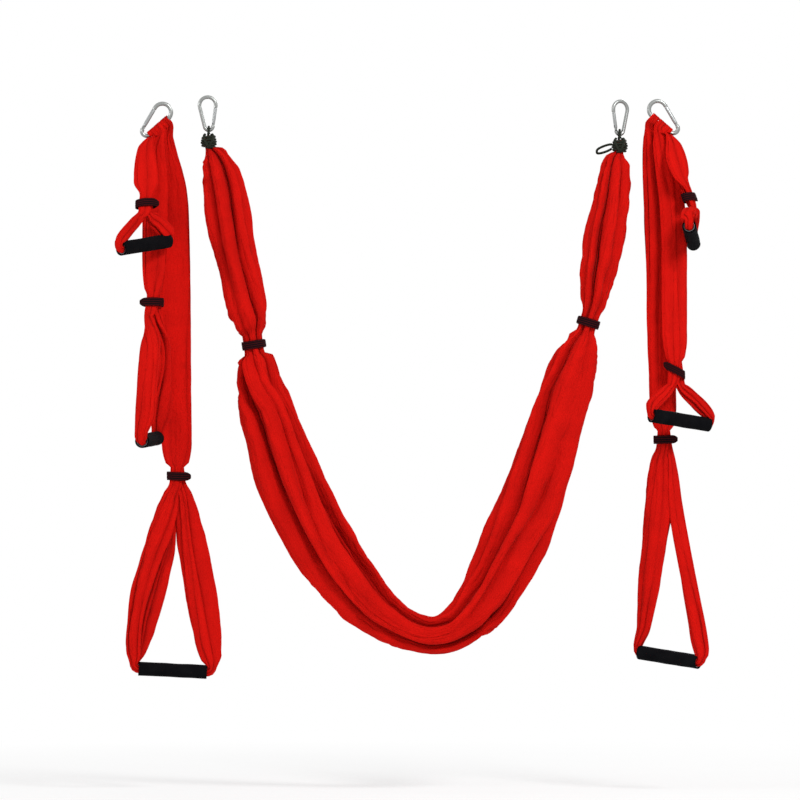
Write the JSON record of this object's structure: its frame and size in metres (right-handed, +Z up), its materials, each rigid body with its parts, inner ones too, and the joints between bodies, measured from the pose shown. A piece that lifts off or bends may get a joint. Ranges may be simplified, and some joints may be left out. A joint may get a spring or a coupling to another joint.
{
  "type": "yoga swing",
  "caption": "Aerial yoga swing that hangs from snap hooks: a gathered cloth hammock with cinch bands, and sets of short, medium and long cloth hand loops with foam grips.",
  "frame": {"origin": "midway between the hammock's hooks, at the height where the ceiling ring bears inside the left one's crown", "axes": "+X to the swing's right as pictured, +Y away from the viewer, +Z up"},
  "size_m": [1.152, 0.2208, 1.1105],
  "materials": {
    "red_cloth": "satin woven nylon, gathered",
    "black_webbing": "woven webbing",
    "black_foam": "matte foam",
    "core_plastic": "plain moulded",
    "green_cord": "braided cord",
    "hook_steel": "zinc plated",
    "gate_steel": "zinc plated",
    "spring_steel": "bright"
  },
  "bodies": {
    "hooks": {"left_set_hook_frame": "hook_steel", "left_set_gate_pin": "spring_steel", "right_set_hook_frame": "hook_steel", "right_set_gate_pin": "spring_steel", "hammock_left_hook_frame": "hook_steel", "hammock_left_gate_pin": "spring_steel", "hammock_right_hook_frame": "hook_steel", "hammock_right_gate_pin": "spring_steel"},
    "left_set_hook_gate": {"left_set_gate": "gate_steel", "left_set_gate_spring": "spring_steel"},
    "right_set_hook_gate": {"right_set_gate": "gate_steel", "right_set_gate_spring": "spring_steel"},
    "hammock_left_hook_gate": {"hammock_left_gate": "gate_steel", "hammock_left_gate_spring": "spring_steel"},
    "hammock_right_hook_gate": {"hammock_right_gate": "gate_steel", "hammock_right_gate_spring": "spring_steel"},
    "left_medium_loop": {"left_medium_loop_cloth": "red_cloth"},
    "left_short_loop": {"left_short_loop_cloth": "red_cloth"},
    "left_long_loop": {"left_long_loop_cloth": "red_cloth"},
    "right_medium_loop": {"right_medium_loop_cloth": "red_cloth"},
    "right_short_loop": {"right_short_loop_cloth": "red_cloth"},
    "right_long_loop": {"right_long_loop_cloth": "red_cloth"},
    "left_short_band": {"left_short_cinch_band": "black_webbing"},
    "left_medium_band": {"left_medium_cinch_band": "black_webbing"},
    "left_long_band": {"left_long_cinch_band": "black_webbing"},
    "right_short_band": {"right_short_cinch_band": "black_webbing"},
    "right_medium_band": {"right_medium_cinch_band": "black_webbing"},
    "right_long_band": {"right_long_cinch_band": "black_webbing"},
    "left_short_grip": {"left_short_foam_grip": "black_foam", "left_short_core_tube": "core_plastic"},
    "left_medium_grip": {"left_medium_foam_grip": "black_foam", "left_medium_core_tube": "core_plastic"},
    "left_long_grip": {"left_long_foam_grip": "black_foam", "left_long_core_tube": "core_plastic"},
    "right_short_grip": {"right_short_foam_grip": "black_foam", "right_short_core_tube": "core_plastic"},
    "right_medium_grip": {"right_medium_foam_grip": "black_foam", "right_medium_core_tube": "core_plastic"},
    "right_long_grip": {"right_long_foam_grip": "black_foam", "right_long_core_tube": "core_plastic"},
    "hammock": {"hammock_cloth": "red_cloth", "hammock_left_tie_cord": "green_cord", "hammock_right_tie_cord": "green_cord", "hammock_right_tie_bow": "green_cord"},
    "hammock_left_band": {"hammock_left_cinch_band": "black_webbing"},
    "hammock_right_band": {"hammock_right_cinch_band": "black_webbing"}
  },
  "joints": [
    {"name": "left_set_gate_opens", "type": "hinge", "parent": "hooks", "child": "left_set_hook_gate", "pos_m": [-0.51192, 0, -0.05068], "axis": [0, 1, 0], "range_deg": [0, 14], "stiffness_Nm_per_rad": 0.05, "springref_deg": -11.46},
    {"name": "right_set_gate_opens", "type": "hinge", "parent": "hooks", "child": "right_set_hook_gate", "pos_m": [0.49692, 0, -0.04568], "axis": [0, -1, 0], "range_deg": [0, 14], "stiffness_Nm_per_rad": 0.05, "springref_deg": -11.46},
    {"name": "hammock_left_gate_opens", "type": "hinge", "parent": "hooks", "child": "hammock_left_hook_gate", "pos_m": [-0.38104, 0, -0.04562], "axis": [0, -1, 0], "range_deg": [0, 18], "stiffness_Nm_per_rad": 0.05, "springref_deg": -11.46},
    {"name": "hammock_right_gate_opens", "type": "hinge", "parent": "hooks", "child": "hammock_right_hook_gate", "pos_m": [0.38302, -0.00518, -0.05381], "axis": [-0.5, 0.866, 0], "range_deg": [0, 18], "stiffness_Nm_per_rad": 0.05, "springref_deg": -11.46},
    {"name": "left_set_swings", "type": "hinge", "parent": "hooks", "child": "left_medium_loop", "pos_m": [-0.48444, 0, -0.05297], "axis": [-0.7545, 0, -0.6563], "range_deg": [-30, 30]},
    {"name": "left_short_loop_swings", "type": "hinge", "parent": "left_medium_loop", "child": "left_short_loop", "pos_m": [-0.49689, 0, -0.0638], "axis": [-0.7545, 0, -0.6563], "range_deg": [0, 35]},
    {"name": "left_long_loop_swings", "type": "hinge", "parent": "left_medium_loop", "child": "left_long_loop", "pos_m": [-0.47199, 0, -0.04214], "axis": [-0.7545, 0, -0.6563], "range_deg": [-35, 0]},
    {"name": "right_set_swings", "type": "hinge", "parent": "hooks", "child": "right_medium_loop", "pos_m": [0.46944, 0, -0.04797], "axis": [-0.7545, 0, 0.6563], "range_deg": [-30, 30]},
    {"name": "right_short_loop_swings", "type": "hinge", "parent": "right_medium_loop", "child": "right_short_loop", "pos_m": [0.48189, 0, -0.0588], "axis": [-0.7545, 0, 0.6563], "range_deg": [0, 35]},
    {"name": "right_long_loop_swings", "type": "hinge", "parent": "right_medium_loop", "child": "right_long_loop", "pos_m": [0.45699, 0, -0.03714], "axis": [-0.7545, 0, 0.6563], "range_deg": [-35, 0]},
    {"name": "left_short_band_slides", "type": "slide", "parent": "left_short_loop", "child": "left_short_band", "axis": [0, -0.3635, -0.9316], "range_m": [-0.006, 0.006]},
    {"name": "left_medium_band_slides", "type": "slide", "parent": "left_medium_loop", "child": "left_medium_band", "axis": [-0.0194, -0.1407, -0.9899], "range_m": [-0.006, 0.006]},
    {"name": "left_long_band_slides", "type": "slide", "parent": "left_long_loop", "child": "left_long_band", "axis": [0.0078, 0.0369, -0.9993], "range_m": [-0.006, 0.006]},
    {"name": "right_short_band_slides", "type": "slide", "parent": "right_short_loop", "child": "right_short_band", "axis": [0.3387, 0, -0.9409], "range_m": [-0.006, 0.006]},
    {"name": "right_medium_band_slides", "type": "slide", "parent": "right_medium_loop", "child": "right_medium_band", "axis": [0.0421, -0.0454, -0.9981], "range_m": [-0.006, 0.006]},
    {"name": "right_long_band_slides", "type": "slide", "parent": "right_long_loop", "child": "right_long_band", "axis": [0.0276, 0, -0.9996], "range_m": [-0.006, 0.006]},
    {"name": "left_short_grip_turns", "type": "hinge", "parent": "left_short_loop", "child": "left_short_grip", "pos_m": [-0.50889, -0.084, -0.2788], "axis": [0.6634, 0.7368, 0.1305], "continuous": true},
    {"name": "left_medium_grip_turns", "type": "hinge", "parent": "left_medium_loop", "child": "left_medium_grip", "pos_m": [-0.50044, -0.058, -0.64697], "axis": [0.1907, 0.981, 0.0349], "continuous": true},
    {"name": "left_long_grip_turns", "type": "hinge", "parent": "left_long_loop", "child": "left_long_grip", "pos_m": [-0.45999, 0.045, -1.08714], "axis": [0.9962, 0.0697, -0.0523], "continuous": true},
    {"name": "right_short_grip_turns", "type": "hinge", "parent": "right_short_loop", "child": "right_short_grip", "pos_m": [0.52589, -0.026, -0.2588], "axis": [0.1014, 0.965, -0.2419], "continuous": true},
    {"name": "right_medium_grip_turns", "type": "hinge", "parent": "right_medium_loop", "child": "right_medium_grip", "pos_m": [0.50444, -0.03, -0.60997], "axis": [0.8576, 0.4951, -0.1392], "continuous": true},
    {"name": "right_long_grip_turns", "type": "hinge", "parent": "right_long_loop", "child": "right_long_grip", "pos_m": [0.48499, 0.01, -1.06114], "axis": [0.8417, -0.526, -0.1219], "continuous": true},
    {"name": "hammock_swings", "type": "hinge", "parent": "hooks", "child": "hammock", "pos_m": [0.00044, -0.00034, -0.06346], "axis": [-0.9999, 0.0009, 0.0103], "range_deg": [-60, 60]},
    {"name": "hammock_left_band_slides", "type": "slide", "parent": "hammock", "child": "hammock_left_band", "axis": [0.1761, 0, -0.9844], "range_m": [-0.006, 0.006]},
    {"name": "hammock_right_band_slides", "type": "slide", "parent": "hammock", "child": "hammock_right_band", "axis": [-0.2803, 0, -0.9599], "range_m": [-0.006, 0.006]}
  ]
}
